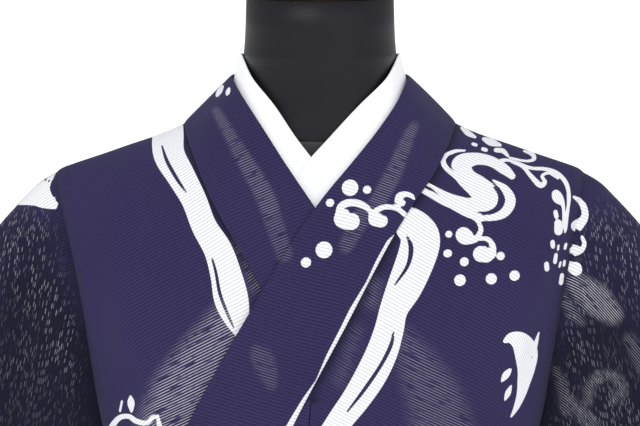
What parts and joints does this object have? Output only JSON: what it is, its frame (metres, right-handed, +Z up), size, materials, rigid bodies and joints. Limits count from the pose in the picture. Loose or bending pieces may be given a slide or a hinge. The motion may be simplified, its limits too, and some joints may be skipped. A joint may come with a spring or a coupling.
{
  "type": "cotton yukata robe on a limbless dress form",
  "caption": "Full-length wrapped cotton robe with bag sleeves and a crossed collar, tied with a plain sash and worn by a limbless dress form on a round stand.",
  "frame": {"origin": "middle of the underside of the stand's round base, on the floor", "axes": "+Z up, the robe's front faces -Y, +X is the wearer's left"},
  "size_m": [0.7544, 0.34, 1.4003],
  "materials": {
    "robe_cotton": "navy ribbed cotton gauze with a white water print, matte",
    "collar_white": "white plain cotton, matte",
    "sash_cloth": "plain ribbed weave, soft sheen",
    "form_leatherette": "black leatherette with a fine grain, soft sheen",
    "cap_wood": "dark stained wood, satin",
    "stand_metal": "black paint, satin"
  },
  "bodies": {
    "root": {"body_left": "robe_cotton", "body_right": "robe_cotton", "overlap_left": "robe_cotton", "overlap_right": "robe_cotton", "sleeve_left": "robe_cotton", "sleeve_right": "robe_cotton", "collar": "robe_cotton", "inner_collar": "collar_white", "sash": "sash_cloth", "sash_knot": "sash_cloth", "sash_wing_left": "sash_cloth", "sash_wing_right": "sash_cloth", "dress_form": "form_leatherette", "neck_cap": "cap_wood", "stand_pole": "stand_metal", "stand_base": "stand_metal"}
  },
  "joints": []
}
